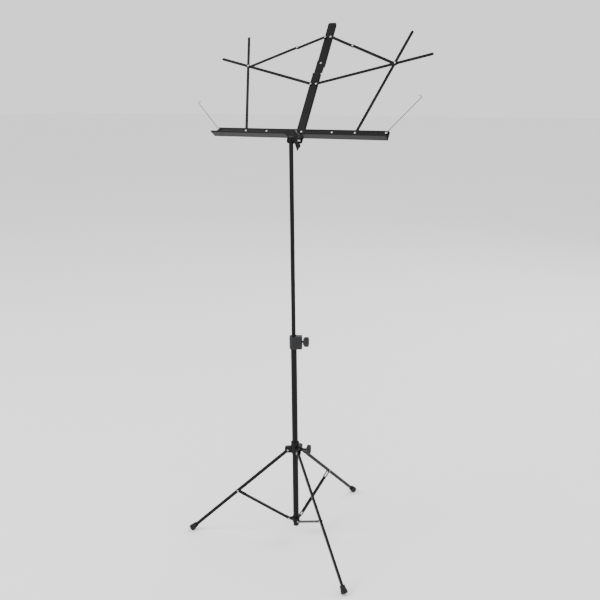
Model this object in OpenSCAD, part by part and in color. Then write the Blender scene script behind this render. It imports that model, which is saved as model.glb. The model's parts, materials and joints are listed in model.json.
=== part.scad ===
// Folding music stand: a wire-style desk on a two-part telescopic mast with a folding tripod.
// Millimetres. The mast stands on the Z axis with the floor at Z = 0. The musician is on the -Y side.

/* [Tripod] */
// Angle between each leg and the mast when the tripod is open, in degrees
leg_angle = 47.6; // [40:0.2:52]
// Distance along a leg from its top pivot to the end of its rubber foot
leg_length = 307.5; // [270:0.5:370]
// Distance along a leg from its top pivot to the strut rivet
leg_to_strut = 156.5; // [136:0.5:186]
// Length of a strut between its two pivots
strut_length = 132; // [126:0.2:158]
// Distance of the leg and strut pivots from the mast axis
pivot_r = 16.2; // [15.6:0.1:19.4]
// Angle between a strut and the mast when the tripod is folded, in degrees
strut_folded = 4; // [3:0.5:6]
// Direction of the first leg, counter-clockwise from +X, in degrees
tripod_turn = 81.5; // [0:0.5:120]
// Outside width of a leg channel
leg_w = 4.8; // [4.2:0.1:6]
// Outside depth of a leg channel
leg_d = 7; // [6:0.1:8.4]
// Sheet thickness of the leg channels
leg_wall = 0.9; // [0.7:0.1:1.1]
// Outside depth of a strut channel
strut_d = 4.4; // [4.2:0.1:5.4]
// Sheet thickness of the strut channels
strut_wall = 0.8; // [0.7:0.1:1]
// Radius of the tripod rivets
tripod_rivet_r = 1.3; // [1.1:0.1:1.4]
// Radius of a rubber foot at its floor end
foot_r = 7.4; // [6.4:0.1:9]
// Length of a rubber foot
foot_len = 16; // [13:0.5:24]
// Depth worn flat on the floor edge of a rubber foot
foot_flat = 1; // [0.8:0.1:1.4]

/* [Mast] */
// Outside diameter of the lower tube
lower_d = 13; // [12:0.1:14]
// Height of the bottom end of the lower tube below the strut pivots
tube_below = 15; // [12:1:18]
// Height of the top end of the lower tube above the floor
lower_top = 457; // [430:1:560]
// Wall of the lower tube
lower_wall = 1; // [0.8:0.1:1.2]
// Outside diameter of the upper tube
upper_d = 9; // [8:0.1:9.4]
// Wall of the upper tube
upper_wall = 0.8; // [0.6:0.1:1]
// Length of the upper tube that stays inside the lower tube
insertion = 55; // [45:1:120]
// Length of the plastic guide bush on the upper tube
bush_len = 30; // [20:1:40]
// Height of the tilt pivot above the floor
tilt_z = 885; // [700:1:1063]
// Radius of the clamp screws
screw_r = 2.4; // [2:0.1:3]
// Direction of the two clamp knobs from the first leg, in degrees
knob_turn = -60; // [-66:1:-54]

/* [Desk] */
// Backward tilt of the desk from upright, in degrees
desk_tilt = 33.8; // [0:0.2:57]
// Height of the tray rivets above the tilt pivot, measured along the spine
head_up = 30.6; // [29.1:0.5:38.6]
// Distance of the spine face behind the tilt pivot
head_back = 24.5; // [21:0.5:30]
// Half of the distance between the two rivets of a pair on the spine
rivet_half = 6.45; // [6.2:0.05:6.9]
// Height of the lower link rivets above the tray rivets
lower_rivet_v = 114.6; // [100:0.2:120]
// Height of the upper link rivets above the tray rivets
upper_rivet_v = 231.6; // [215:0.2:245]
// Height of the top of the spine above the tray rivets
spine_top_v = 268; // [258:1:290]
// Distance of the upright rivet from the middle of the desk
upright_x = 124; // [112:0.5:130]
// Length of a lower link between its spine rivet and the crossing rivet
lower_link_len = 168.7; // [160:0.1:175]
// Length of a lower link from its spine rivet to its free tip
lower_link_reach = 246; // [230:1:270]
// Length of an upright from its tray rivet to its free tip
upright_reach = 242; // [227:1:265]
// Width of the flat link bars
link_w = 6; // [5:0.1:6.6]
// Thickness of the flat link bars
link_t = 1.6; // [1.2:0.1:2]
// Radius of the desk rivets
desk_rivet_r = 1.25; // [1:0.05:1.4]
// Half length of the tray, from the middle to one end
tray_half_len = 196; // [187:1:234]
// Depth of the tray shelf
tray_shelf = 19; // [12:0.5:22]
// Sheet thickness of the tray
tray_t = 1; // [0.8:0.1:1.2]
// Height of the small lip on the front edge of the tray
tray_lip = 3; // [2:0.5:5]
// Room between the rear rivet heads and the folded edges of the spine
spine_room = 0.2; // [0.15:0.05:0.8]
// Sheet thickness of the spine
spine_t = 1.2; // [1:0.1:1.5]
// Depth of the folded edges of the spine
spine_flange = 3.6; // [2.5:0.1:5]
// Diameter of the page wires
wire_d = 1.6; // [1.2:0.1:2]
// Reach of a page wire from its pivot to its hook
wire_reach = 93; // [75:1:110]
// Angle of the right-hand page wire above the tray, in degrees
wire_right_turn = 56; // [5:1:90]
// Angle of the left-hand page wire above the tray, in degrees
wire_left_turn = 41; // [5:1:90]

/* [Fits] */
// Radial running clearance of rivets, screws and sliding tubes
fit = 0.05; // [0.03:0.01:0.08]
// Gap between flat pieces that turn against each other
gap = 0.15; // [0.1:0.01:0.2]

/* [Hidden] */
$fn = 48;

black = "#26272a";
black_dark = "#1d1e20";
plastic = "#3a3b3e";
rubber = "#161616";
steel = "#b4b6ba";

// Tripod geometry. The flat of a foot rests on the floor, which sets the height of the hub.
leg_turns = [tripod_turn, tripod_turn + 120, tripod_turn + 240];
hub_z = leg_length * cos(leg_angle) + foot_r * sin(leg_angle) - foot_flat;
strut_angle = asin(leg_to_strut * sin(leg_angle) / strut_length);
bracket_z = hub_z - leg_to_strut * cos(leg_angle) - strut_length * cos(strut_angle);
leg_folded = asin(strut_length * sin(strut_folded) / leg_to_strut);
side_gap = 0.15;                          // between the flat sides that turn in each other
strut_in = leg_w + 2 * side_gap;          // between the sides of a strut
strut_w = strut_in + 2 * strut_wall;
head_over = 0.8;                          // a tripod rivet's head past its shank
head_h = 0.7;
// The strut's web stops where the folded leg comes out of its fork
fork_len = (leg_d / 2 - strut_d / 2 + strut_wall + 0.4) / sin(strut_folded + leg_folded) + 1;
web_start = 8;                            // from a strut's lower pivot to its web
leg_nose = 2;                             // from a leg's top pivot to its web
foot_cover = 2.5;                         // rubber past the end of the leg
leg_end = leg_length - foot_cover;
foot_neck = 2.1;
lug_w = strut_in - 2 * side_gap;
lug_up = 4;
lug_down = 5;
root = 1;                                 // how far an arm or lug runs into its sleeve
arm_gap = 0.3;
arm_t = 1.3;
arm_in = leg_w + 2 * arm_gap;             // between the cheeks of a hub arm

// Mast geometry
tube_bottom = bracket_z - tube_below;
lower_r = lower_d / 2;
upper_r = upper_d / 2;
upper_bottom = lower_top - insertion;
plug_rim = 1.8;
plug_inset = 0.3;
plug_shank = 9;
press = 0.02;                             // clearance of a pushed-in plug
bracket_wall = 2;
bracket_below = 7;
bracket_h = 12;
collar_below = 8;
collar_h = 28;
collar_bottom = lower_top - collar_below;
collar_wall = 2.9;
collar_block_w = 15;
collar_reach = 18;
collar_corner = 2.2;
screw_z = collar_bottom + 15;
screw_tip = 1;
screw_in_knob = 2;                        // plastic past the end of a screw
collar_knob_in = 20.2;
collar_knob_len = 12.3;
collar_knob_r = 10.8;
hub_wall = 2.7;
hub_sleeve_r = lower_r + hub_wall;
hub_step = 0.4;                           // the arms' part is this much slimmer than the sleeve
hub_below = 6;
hub_step_up = 9.5;
hub_top = 20;
hub_chamfer = 0.8;
hub_arm_up = 9.6;
hub_arm_down = 5.4;
hub_arm_end = 6.6;
hub_arm_corner = 2;
hub_knob_in = 25;
hub_knob_len = 10;
hub_knob_r = 10;
hub_screw_z = hub_z + 3;
hub_boss_r = 5.4;
hub_boss_reach = hub_sleeve_r + 6;
knob_az = tripod_turn + knob_turn;
knob_flutes = 10;
// Outline of a knob from its back to its end face, as shares of its radius and length
knob_profile = [[0.6, 0], [0.66, 0.1], [0.9, 0.16], [1, 0.28], [1, 0.8], [0.92, 0.94], [0.76, 1]];
flute_r = 0.16;
flute_out = 1.06;
tip_gap = 0.1;
bush_lip = 2;                             // the bush closes over the end of the upper tube

// Desk layers, measured forward from the front face of the lower spine. Each layer leaves room for
// the rivet heads of the layer behind it.
desk_head_h = 0.7;
layer = link_t + desk_head_h + gap;
lower_n = gap;
upright_n = lower_n + layer;
tray_n = upright_n + layer;
outer_n = lower_n - layer;
inner_n = outer_n - layer;
tongue_n = inner_n - gap;
upper_web_n = tongue_n - spine_t;
tray_top = rivet_half - 0.5;
tray_drop = 15.5;
tray_corner = 3;
lip_lean = 0.5;                           // the lip leans out by this share of its height
bar_r = link_w / 2;
head_r = desk_rivet_r + 1.05;
rear_head_r = desk_rivet_r + 0.65;
spine_w = 2 * (rivet_half + rear_head_r + spine_room + spine_t);
spine_corner = 2;
spine_round = 4;
joggle_v = lower_rivet_v + 25;
joggle_rise = 7;
tongue_len = 36;
tongue_top = joggle_v + tongue_len;
centre_v = tongue_top - 7;
upper_spine_bottom = tongue_top - 16;
spine_bottom_v = -23.1;
sunk = 0.01;                              // overlap that makes two drawn pieces one solid

// Desk linkage in the plane of the desk, right-hand side: x across, v up the spine.
tray_arm = upright_x - rivet_half;
upright_len = lower_rivet_v + lower_link_len - tray_arm;
base_dv = -lower_rivet_v;
base_len = norm([tray_arm, base_dv]);
base_along = (lower_link_len ^ 2 - upright_len ^ 2 + base_len ^ 2) / (2 * base_len);
base_off = sqrt(lower_link_len ^ 2 - base_along ^ 2);
cross_x = rivet_half + (base_along * tray_arm - base_off * base_dv) / base_len;
cross_v = lower_rivet_v + (base_along * base_dv + base_off * tray_arm) / base_len;
upper_span = norm([cross_x - rivet_half, cross_v - upper_rivet_v]);
upper_diff = lower_rivet_v + lower_link_len - upper_rivet_v;
outer_len = (upper_span + upper_diff) / 2;
inner_len = (upper_span - upper_diff) / 2;
lower_dir = atan2(cross_v - lower_rivet_v, cross_x - rivet_half);
upper_dir = atan2(cross_v - upper_rivet_v, cross_x - rivet_half);
upright_dir = atan2(cross_v, cross_x - upright_x);
elbow_x = rivet_half + inner_len * cos(upper_dir);
elbow_v = upper_rivet_v + inner_len * sin(upper_dir);

// Page wires and the studs on the tray
wire_x = tray_half_len - 6;
stud_x = upright_x * 0.6;
wire_play = 0.3;                          // between a page wire and the head of its stud
wire_n = [tray_n + tray_t + desk_head_h + 0.4 + wire_d / 2,
          tray_n + tray_t + desk_head_h + 0.9 + 1.6 * wire_d];
wire_turns = [wire_right_turn, wire_left_turn];
hook_r = 3;
hook_turn = 140;

// Tilt head
ear_gap = 0.7;
ear_in = upper_r + ear_gap;
ear_t = 1.5;
ear_out = ear_in + ear_t;
bolt_r = 2;
bolt_head_r = 4;
bolt_head_h = 2.4;
bolt_play = 0.05;
ear_r = 6;
ear_top = spine_bottom_v + 6.5;              // clear of the tray halves as they fold
notch_gap = 0.2;
plate_t = 1.5;
plate_h = 34;
plate_up = 1;
tube_over = 6.5;
cap_h = 1.7;

// Wing nut. Its wings are drawn in length along the bolt and radius.
nut_len = 8;
nut_r = 4.6;
nut_end_r = 3.6;
nut_play = 0.4;
nut_turn = 15;
nut_x = ear_out + nut_play;
bolt_past_nut = 14;
wing_t = 2.2;
wing_tip = [5, 21];
wing_corner = [11.5, 13.2];
wing_points = [[0.6, 0], [0.6, 5], [2.2, 14], [3.6, 20.5], [4.4, 21.8], wing_tip,
               [8, 16.5], wing_corner, [12.6, 11], [11.2, 7], [7.6, 3], [7.6, 0]];
// The shelf starts where the turning wings are lower than its underside
wing_slope = (wing_corner[0] - wing_tip[0]) / (wing_tip[1] - wing_corner[1]);
wing_clear = 0.5;
shelf_start = nut_x + wing_tip[0] + (wing_tip[1] + wing_clear - head_up + tray_drop) * wing_slope;

// ---------- shared shapes ----------

// Turns to the radial plane of one tripod leg
module on_leg(turn) rotate([0, 0, turn]) children();

// Frame of a leg: X along the leg from its top pivot, Z out through its web
module leg_frame(turn)
  on_leg(turn) translate([pivot_r, 0, hub_z]) rotate([0, 90 - leg_angle, 0]) children();

// Frame of a strut: X along the strut from the foot bracket, Z up and inward
module strut_frame(turn)
  on_leg(turn) translate([pivot_r, 0, bracket_z]) rotate([0, strut_angle - 90, 0]) children();

// Round bar along Y, centred on the origin
module cross_pin(r, len) rotate([90, 0, 0]) cylinder(r = r, h = len, center = true);

// Domed rivet head that grows along +Z
module rivet_head(r, h) {
  cylinder(r = r, h = h * 0.45);
  translate([0, 0, h * 0.45]) cylinder(r1 = r, r2 = r * 0.55, h = h * 0.55);
}

// Lug of width w in the X-Z plane, round about a pivot at the origin, reaching back towards the mast
module lug(w, back, up, down, round_r)
  difference() {
    rotate([90, 0, 0]) linear_extrude(w, center = true)
      polygon(concat(
        [[-back, up], [-back, -down]],
        [for (a = [-90:15:90]) round_r * [cos(a), sin(a)]]));
    cross_pin(tripod_rivet_r + fit, 2 * w);
  }

// Moulded knob along +Z with finger flutes round its rim and a blind hole for its screw
module knob(r, len, hole_r)
  difference() {
    rotate_extrude()
      polygon(concat(
        [[hole_r, 0]],
        [for (p = knob_profile) [p[0] * r, p[1] * len]],
        [[0, len], [0, len - screw_in_knob], [hole_r, len - screw_in_knob]]));
    for (i = [0:knob_flutes - 1])
      rotate([0, 0, i * 360 / knob_flutes]) translate([r * flute_out, 0, -1])
        cylinder(r = r * flute_r, h = len + 2);
  }

// Frame of the desk: Z up the spine from the tilt pivot, -Y forward out of the desk
module desk() translate([0, 0, tilt_z]) rotate([-desk_tilt, 0, 0]) children();

// Sheet of thickness t whose back face is n in front of the spine, outline drawn in x and v
module sheet(n, t)
  desk() translate([0, head_back - n, head_up]) rotate([90, 0, 0]) linear_extrude(t) children();

// Straight pin through the desk from n0 to n1
module desk_pin(x, v, n0, n1, r)
  desk() translate([x, head_back - n0, head_up + v]) rotate([90, 0, 0]) cylinder(r = r, h = n1 - n0);

// Rivet head standing on the face at n, forward for side = 1 and backward for side = -1
module desk_head(x, v, n, side)
  desk() translate([x, head_back - n, head_up + v]) rotate([90 * side, 0, 0])
    rivet_head(side > 0 ? head_r : rear_head_r, desk_head_h);

// Spacer ring around a pin
module desk_ring(x, v, n0, n1)
  difference() {
    desk_pin(x, v, n0, n1, head_r);
    desk_pin(x, v, n0 - 1, n1 + 1, desk_rivet_r + fit);
  }

// Outline of a bar with round ends: along +X from its pivot, from -r to len
function bar_outline(len, r) = concat(
  [for (a = [90:15:270]) r * [cos(a), sin(a)]],
  [for (a = [-90:15:90]) [len - r, 0] + r * [cos(a), sin(a)]]);

// Mirrors a right-hand piece to the left when s is -1
module side(s) { if (s < 0) mirror([1, 0, 0]) children(); else children(); }

// Flat link bar: pivot at (x, v), direction dir, free length reach, with holes at the given distances
module link(x, v, dir, reach, n, holes)
  difference() {
    sheet(n, link_t) translate([x, v]) rotate(dir) polygon(bar_outline(reach, bar_r));
    for (d = holes)
      desk_pin(x + d * cos(dir), v + d * sin(dir), n - 1, n + link_t + 1, desk_rivet_r + fit);
  }

// ---------- mast ----------

module lower_tube() color(black)
  difference() {
    translate([0, 0, tube_bottom]) cylinder(r = lower_r, h = lower_top - tube_bottom);
    translate([0, 0, tube_bottom - 1]) cylinder(r = lower_r - lower_wall, h = lower_top - tube_bottom + 2);
  }

module end_plug() color(plastic) translate([0, 0, tube_bottom])
  rotate_extrude()
    polygon([[0, -plug_rim], [lower_r - plug_inset - plug_rim / 2, -plug_rim],
             [lower_r - plug_inset, -plug_rim / 2], [lower_r - plug_inset, 0],
             [lower_r - lower_wall - press, 0], [lower_r - lower_wall - press, plug_shank],
             [0, plug_shank]]);

module foot_bracket() color(black_dark) {
  difference() {
    translate([0, 0, bracket_z - bracket_below]) cylinder(r = lower_r + bracket_wall, h = bracket_h);
    translate([0, 0, bracket_z - bracket_h]) cylinder(r = lower_r, h = 2 * bracket_h);
  }
  for (turn = leg_turns)
    difference() {
      on_leg(turn) translate([pivot_r, 0, bracket_z])
        lug(lug_w, pivot_r - lower_r - root, lug_up, lug_down, strut_d / 2);
      translate([0, 0, bracket_z - bracket_h]) cylinder(r = lower_r + root / 2, h = 2 * bracket_h);
    }
}

// Rivet through the two sides of a strut and what lies between them, along Y at the origin
module strut_pin() {
  cross_pin(tripod_rivet_r, strut_w + gap);
  for (s = [-1, 1]) rotate([-90 * s, 0, 0]) translate([0, 0, (strut_w + gap) / 2])
    rivet_head(tripod_rivet_r + head_over, head_h);
}

module bracket_pin(turn) on_leg(turn) translate([pivot_r, 0, bracket_z]) strut_pin();
module bracket_pins() color(steel) { bracket_pin(leg_turns[1]); bracket_pin(leg_turns[2]); }
module bracket_pin_1() color(steel) bracket_pin(leg_turns[0]);

// Frame of a clamp: Z out of the mast towards its knob, at height z
module clamp(z) rotate([0, 0, knob_az]) translate([0, 0, z]) rotate([0, 90, 0]) children();

// Plan of the collar: round about the mast with a block on the knob side
module collar_plan() {
  circle(r = lower_r + collar_wall);
  translate([0, -collar_block_w / 2]) square([collar_reach - collar_corner, collar_block_w]);
  translate([0, -collar_block_w / 2 + collar_corner])
    square([collar_reach, collar_block_w - 2 * collar_corner]);
  for (s = [-1, 1])
    translate([collar_reach - collar_corner, s * (collar_block_w / 2 - collar_corner)])
      circle(r = collar_corner);
}

module collar() color(plastic)
  difference() {
    rotate([0, 0, knob_az]) translate([0, 0, collar_bottom]) linear_extrude(collar_h) collar_plan();
    translate([0, 0, collar_bottom - 1]) cylinder(r = lower_r, h = collar_below + 1);
    translate([0, 0, collar_bottom - 1]) cylinder(r = upper_r + fit, h = collar_h + 2);
    clamp(screw_z) cylinder(r = screw_r + fit, h = collar_reach + 1);
  }

// Clamp screw from start to inside its knob, with a chamfered tip
module screw(start, end) translate([0, 0, start]) {
  cylinder(r1 = screw_r * 0.75, r2 = screw_r, h = screw_tip);
  translate([0, 0, screw_tip]) cylinder(r = screw_r, h = end - start - screw_tip);
}
module collar_screw() color(black_dark)
  clamp(screw_z) screw(upper_r + tip_gap, collar_knob_in + collar_knob_len - screw_in_knob);
module collar_knob() color(plastic)
  clamp(screw_z) translate([0, 0, collar_knob_in]) knob(collar_knob_r, collar_knob_len, screw_r);

module guide_bush() color(plastic)
  difference() {
    translate([0, 0, upper_bottom - bush_lip]) cylinder(r = lower_r - lower_wall - fit, h = bush_len);
    translate([0, 0, upper_bottom - fit]) cylinder(r = upper_r + fit, h = bush_len);
  }

module upper_tube() color(black)
  difference() {
    translate([0, 0, upper_bottom]) cylinder(r = upper_r, h = tilt_z + tube_over - upper_bottom);
    translate([0, 0, upper_bottom - 1])
      cylinder(r = upper_r - upper_wall, h = tilt_z + tube_over - upper_bottom + 2);
    translate([0, 0, tilt_z]) rotate([0, 90, 0])
      cylinder(r = bolt_r + fit, h = 2 * upper_d, center = true);
  }

module tube_plug() color(plastic)
  translate([0, 0, tilt_z + tube_over])
    rotate_extrude()
      polygon([[0, bolt_r + 0.6 - tube_over], [upper_r - upper_wall - press, bolt_r + 0.6 - tube_over],
               [upper_r - upper_wall - press, 0], [upper_r, 0], [upper_r * 0.89, cap_h * 0.47],
               [upper_r * 0.5, cap_h * 0.88], [0, cap_h]]);

// ---------- tripod ----------

// Arm of the hub: an inverted channel over the top of a leg
module hub_arm(turn) on_leg(turn) translate([pivot_r, 0, hub_z]) {
  back = pivot_r - lower_r - root;
  shoulder = hub_arm_up - root;
  for (s = [-1, 1]) translate([0, s * (arm_in + arm_t) / 2, 0])
    difference() {
      rotate([90, 0, 0]) linear_extrude(arm_t, center = true)
        polygon([[-back, hub_arm_up], [-back, -hub_arm_down], [hub_arm_corner, -hub_arm_down],
                 [hub_arm_end, -root], [hub_arm_end, shoulder - hub_arm_corner],
                 [hub_arm_end - hub_arm_corner, shoulder]]);
      cross_pin(tripod_rivet_r + fit, 2 * arm_t);
    }
  rotate([90, 0, 0]) linear_extrude(arm_in + 2 * sunk, center = true)
    polygon([[-back, hub_arm_up], [-back, hub_arm_up - arm_t],
             [hub_arm_end - hub_arm_corner, shoulder - arm_t], [hub_arm_end - hub_arm_corner, shoulder]]);
}

module leg_hub() color(black_dark)
  difference() {
    union() {
      translate([0, 0, hub_z - hub_below]) cylinder(r = hub_sleeve_r - hub_step, h = hub_below + hub_step_up);
      translate([0, 0, hub_z + hub_step_up]) cylinder(r = hub_sleeve_r, h = hub_top - hub_step_up);
      translate([0, 0, hub_z + hub_top])
        cylinder(r1 = hub_sleeve_r, r2 = hub_sleeve_r - hub_chamfer, h = hub_chamfer);
      clamp(hub_screw_z) cylinder(r = hub_boss_r, h = hub_boss_reach);
      for (turn = leg_turns) hub_arm(turn);
    }
    translate([0, 0, hub_z - hub_top]) cylinder(r = lower_r + fit, h = 3 * hub_top);
    clamp(hub_screw_z) cylinder(r = screw_r + fit, h = hub_boss_reach + 1);
  }

// The two halves of a leg's top rivet, one in each cheek of its hub arm
module hub_pin(turn) on_leg(turn) translate([pivot_r, 0, hub_z])
  for (s = [-1, 1]) rotate([-90 * s, 0, 0]) {
    translate([0, 0, arm_in / 2]) cylinder(r = tripod_rivet_r, h = arm_t + gap / 2);
    translate([0, 0, arm_in / 2 + arm_t + gap / 2]) rivet_head(tripod_rivet_r + head_over, head_h);
  }
module hub_pins() color(steel) { hub_pin(leg_turns[1]); hub_pin(leg_turns[2]); }
module hub_pin_1() color(steel) hub_pin(leg_turns[0]);

module hub_screw() color(black_dark)
  clamp(hub_screw_z) screw(lower_r + tip_gap, hub_knob_in + hub_knob_len - screw_in_knob);
module hub_knob() color(plastic)
  clamp(hub_screw_z) translate([0, 0, hub_knob_in]) knob(hub_knob_r, hub_knob_len, screw_r);

// Leg: a channel that opens towards the mast, with a round top end
module leg(turn) color(black) leg_frame(turn) {
  half = leg_d / 2;
  difference() {
    union() {
      for (s = [-1, 1]) translate([0, s * (leg_w - leg_wall) / 2, 0])
        rotate([90, 0, 0]) linear_extrude(leg_wall, center = true)
          polygon(concat([for (a = [270:-15:90]) half * [cos(a), sin(a)]],
                         [[leg_end, half], [leg_end, -half]]));
      translate([leg_nose, -leg_w / 2, half - leg_wall]) cube([leg_end - leg_nose, leg_w, leg_wall]);
    }
    cross_pin(tripod_rivet_r + fit, 2 * leg_w);
    translate([leg_to_strut, 0, 0]) cross_pin(tripod_rivet_r + fit, 2 * leg_w);
  }
}
module leg_1() leg(leg_turns[0]);
module leg_2() leg(leg_turns[1]);
module leg_3() leg(leg_turns[2]);

// Strut: a channel whose forked end straddles the leg
module strut(turn) color(black) strut_frame(turn) {
  half = strut_d / 2;
  difference() {
    union() {
      for (s = [-1, 1]) translate([0, s * (strut_w - strut_wall) / 2, 0])
        rotate([90, 0, 0]) linear_extrude(strut_wall, center = true)
          polygon(bar_outline(strut_length + half, half));
      translate([web_start, -strut_w / 2, half - strut_wall])
        cube([strut_length - web_start - fork_len, strut_w, strut_wall]);
    }
    cross_pin(tripod_rivet_r + fit, 2 * strut_w);
    translate([strut_length, 0, 0]) cross_pin(tripod_rivet_r + fit, 2 * strut_w);
  }
}
module strut_1() strut(leg_turns[0]);
module strut_2() strut(leg_turns[1]);
module strut_3() strut(leg_turns[2]);

module strut_rivet(turn) color(steel) strut_frame(turn) translate([strut_length, 0, 0]) strut_pin();
module strut_rivet_1() strut_rivet(leg_turns[0]);
module strut_rivet_2() strut_rivet(leg_turns[1]);
module strut_rivet_3() strut_rivet(leg_turns[2]);

// Rubber foot: a flared boot on the leg's end, worn flat where it meets the floor
module foot(turn) color(rubber)
  difference() {
    leg_frame(turn) {
      difference() {
        translate([leg_length - foot_len, 0, 0]) rotate([0, 90, 0])
          rotate_extrude()
            polygon([[0, 0], [foot_r - foot_neck, 0], [foot_r - foot_neck * 0.7, foot_len * 0.04],
                     [foot_r - foot_neck * 0.57, foot_len * 0.45], [foot_r - foot_neck * 0.2, foot_len * 0.7],
                     [foot_r, foot_len * 0.8], [foot_r, foot_len], [0, foot_len]]);
        translate([leg_length - foot_len - 1, -leg_w / 2, -leg_d / 2])
          cube([leg_end - leg_length + foot_len + 1, leg_w, leg_d]);
      }
    }
    translate([-leg_length - foot_r, -leg_length - foot_r, -2 * foot_r])
      cube([2 * (leg_length + foot_r), 2 * (leg_length + foot_r), 2 * foot_r]);
  }
module foot_1() foot(leg_turns[0]);
module foot_2() foot(leg_turns[1]);
module foot_3() foot(leg_turns[2]);

// ---------- tilt head ----------

module tilt_bracket() color(black_dark) desk()
  difference() {
    union() {
      // Base plate behind the spine, held by the tray rivets
      translate([-ear_out, head_back + spine_t, head_up + spine_bottom_v + plate_up])
        cube([2 * ear_out, plate_t, plate_h]);
      // Ears that run forward past the spine's lower end to the pivot
      for (s = [-1, 1]) translate([s * (ear_in + ear_t / 2), 0, 0])
        rotate([90, 0, 90]) linear_extrude(ear_t, center = true)
          polygon(concat(
            [[head_back + spine_t + plate_t, head_up + spine_bottom_v + plate_up],
             [head_back + spine_t + plate_t, head_up + ear_top],
             [head_back - 6, head_up + ear_top - 1.5]],
            [for (a = [75:15:300]) ear_r * [cos(a), sin(a)]],
            [[head_back - 3, head_up + spine_bottom_v - 3.5]]));
    }
    rotate([0, 90, 0]) cylinder(r = bolt_r + fit, h = 40, center = true);
    for (s = [-1, 1]) translate([s * rivet_half, head_back + spine_t + 3, head_up]) rotate([90, 0, 0])
      cylinder(r = desk_rivet_r + fit, h = 6);
  }

module tilt_bolt() color(steel) translate([0, 0, tilt_z]) rotate([0, 90, 0]) {
  translate([0, 0, -ear_out - bolt_play]) cylinder(r = bolt_r, h = 2 * ear_out + bolt_past_nut);
  translate([0, 0, -ear_out - bolt_play]) rotate([180, 0, 0]) rivet_head(bolt_head_r, bolt_head_h);
}

module wing_nut() color(black_dark) translate([nut_x, 0, tilt_z])
  rotate([nut_turn, 0, 0]) {
    difference() {
      union() {
        rotate([0, 90, 0]) cylinder(r1 = nut_r, r2 = nut_end_r, h = nut_len);
        for (s = [0, 180]) rotate([s, 0, 0])
          rotate([-90, 0, 0]) linear_extrude(wing_t, center = true) polygon(wing_points);
      }
      rotate([0, 90, 0]) translate([0, 0, -1]) cylinder(r = bolt_r + fit, h = 30);
    }
  }

// ---------- spine ----------

module lower_spine() color(black)
  difference() {
    union() {
      sheet(-spine_t, spine_t)
        polygon([[-spine_w / 2, spine_bottom_v + spine_corner], [-spine_w / 2 + spine_corner, spine_bottom_v],
                 [spine_w / 2 - spine_corner, spine_bottom_v], [spine_w / 2, spine_bottom_v + spine_corner],
                 [spine_w / 2, joggle_v], [-spine_w / 2, joggle_v]]);
      // Folded edges, clear of the bracket plate
      for (s = [-1, 1]) sheet(-spine_flange, spine_flange)
        translate([s * (spine_w - spine_t) / 2, 0])
          polygon([[-spine_t / 2, spine_bottom_v + spine_corner],
                   [spine_t / 2, spine_bottom_v + spine_corner],
                   [spine_t / 2, joggle_v], [-spine_t / 2, joggle_v]]);
      // Joggle that steps the tongue back behind the folded upper links
      desk() rotate([90, 0, 90]) linear_extrude(spine_w, center = true)
        polygon([[head_back, head_up + joggle_v - sunk],
                 [head_back - tongue_n, head_up + joggle_v + joggle_rise],
                 [head_back - tongue_n + spine_t, head_up + joggle_v + joggle_rise],
                 [head_back + spine_t, head_up + joggle_v - sunk]]);
      sheet(tongue_n - spine_t, spine_t)
        polygon([[-spine_w / 2, joggle_v + joggle_rise - sunk], [spine_w / 2, joggle_v + joggle_rise - sunk],
                 [spine_w / 2, tongue_top - spine_corner], [spine_w / 2 - spine_corner, tongue_top],
                 [-spine_w / 2 + spine_corner, tongue_top], [-spine_w / 2, tongue_top - spine_corner]]);
    }
    for (s = [-1, 1]) {
      desk_pin(s * rivet_half, 0, -3, 3, desk_rivet_r + fit);
      desk_pin(s * rivet_half, lower_rivet_v, -3, 3, desk_rivet_r + fit);
    }
    desk_pin(0, centre_v, upper_web_n - 6, 3, desk_rivet_r + fit);
    // Notches that let the bracket's ears pass
    for (s = [-1, 1]) sheet(-spine_t - 1, spine_t + 2)
      translate([s * (ear_in + ear_t / 2) - ear_t / 2 - notch_gap, spine_bottom_v - 1])
        square([ear_t + 2 * notch_gap, ear_top - spine_bottom_v + 1.5]);
  }

module upper_spine() color(black)
  difference() {
    union() {
      sheet(upper_web_n - spine_t, spine_t)
        polygon(concat(
          [[-spine_w / 2, upper_spine_bottom], [spine_w / 2, upper_spine_bottom]],
          [for (a = [0:15:90])
            [spine_w / 2 - spine_round, spine_top_v - spine_round] + spine_round * [cos(a), sin(a)]],
          [for (a = [90:15:180])
            [-spine_w / 2 + spine_round, spine_top_v - spine_round] + spine_round * [cos(a), sin(a)]]));
      for (s = [-1, 1]) sheet(upper_web_n - spine_flange, spine_flange)
        translate([s * (spine_w - spine_t) / 2, 0])
          polygon([[-spine_t / 2, upper_spine_bottom], [spine_t / 2, upper_spine_bottom],
                   [spine_t / 2, spine_top_v - spine_round], [-spine_t / 2, spine_top_v - spine_round]]);
    }
    for (s = [-1, 1]) desk_pin(s * rivet_half, upper_rivet_v, upper_web_n - 3, 3, desk_rivet_r + fit);
    desk_pin(0, centre_v, upper_web_n - 6, 3, desk_rivet_r + fit);
  }

module centre_rivet() color(steel) {
  desk_pin(0, centre_v, upper_web_n - spine_t, tongue_n, desk_rivet_r);
  desk_head(0, centre_v, tongue_n, 1);
  desk_head(0, centre_v, upper_web_n - spine_t, -1);
}

// Rivets that carry the tray halves, with the spacer that holds the tray clear of the links
module tray_rivets() color(steel) for (s = [-1, 1]) {
  desk_pin(s * rivet_half, 0, -spine_t - plate_t, tray_n + tray_t + gap, desk_rivet_r);
  desk_head(s * rivet_half, 0, tray_n + tray_t + gap, 1);
  desk_head(s * rivet_half, 0, -spine_t - plate_t, -1);
  desk_ring(s * rivet_half, 0, 0, tray_n - gap);
}

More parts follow.
